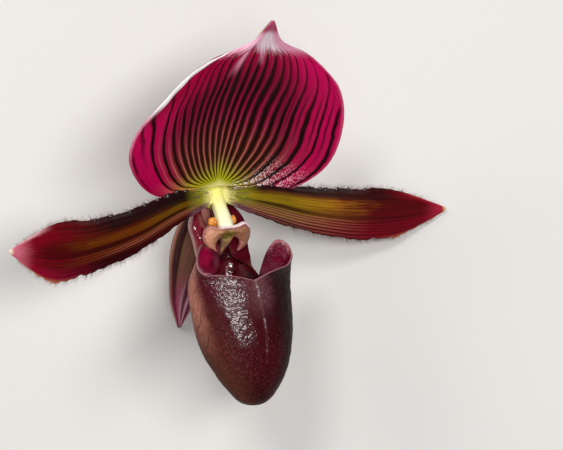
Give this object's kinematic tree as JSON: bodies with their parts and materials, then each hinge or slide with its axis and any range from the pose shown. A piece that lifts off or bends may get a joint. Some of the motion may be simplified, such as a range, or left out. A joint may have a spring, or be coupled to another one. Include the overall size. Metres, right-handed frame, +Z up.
{
  "type": "paphiopedilum orchid flower",
  "caption": "Slipper orchid flower lying as picked: hooded upper sepal, spreading petals, pouched lip with a shield above its mouth, lower sepal, ovary, bract and cut stem.",
  "frame": {"origin": "on the surface that the flower lies on, under the middle of its plan", "axes": "+Z up, out of the surface; +Y the way the upper sepal points; +X the way the flower's right petal points, the viewer's right"},
  "size_m": [0.1038, 0.0896, 0.0621],
  "materials": {
    "upper_sepal": "satin",
    "lower_sepal": "satin",
    "petal": "satin",
    "lip": "gloss",
    "column": "satin",
    "shield": "satin",
    "stigma": "satin",
    "anther": "gloss",
    "ovary": "matte",
    "stem": "matte",
    "bract": "matte"
  },
  "bodies": {
    "root": {"dorsal_sepal": "upper_sepal", "synsepal": "lower_sepal", "petal_left": "petal", "petal_right": "petal", "lip_pouch": "lip", "column": "column", "staminode": "shield", "stigma": "stigma", "anther_left": "anther", "anther_right": "anther", "ovary": "ovary", "scape": "stem", "bract": "bract"}
  },
  "joints": []
}
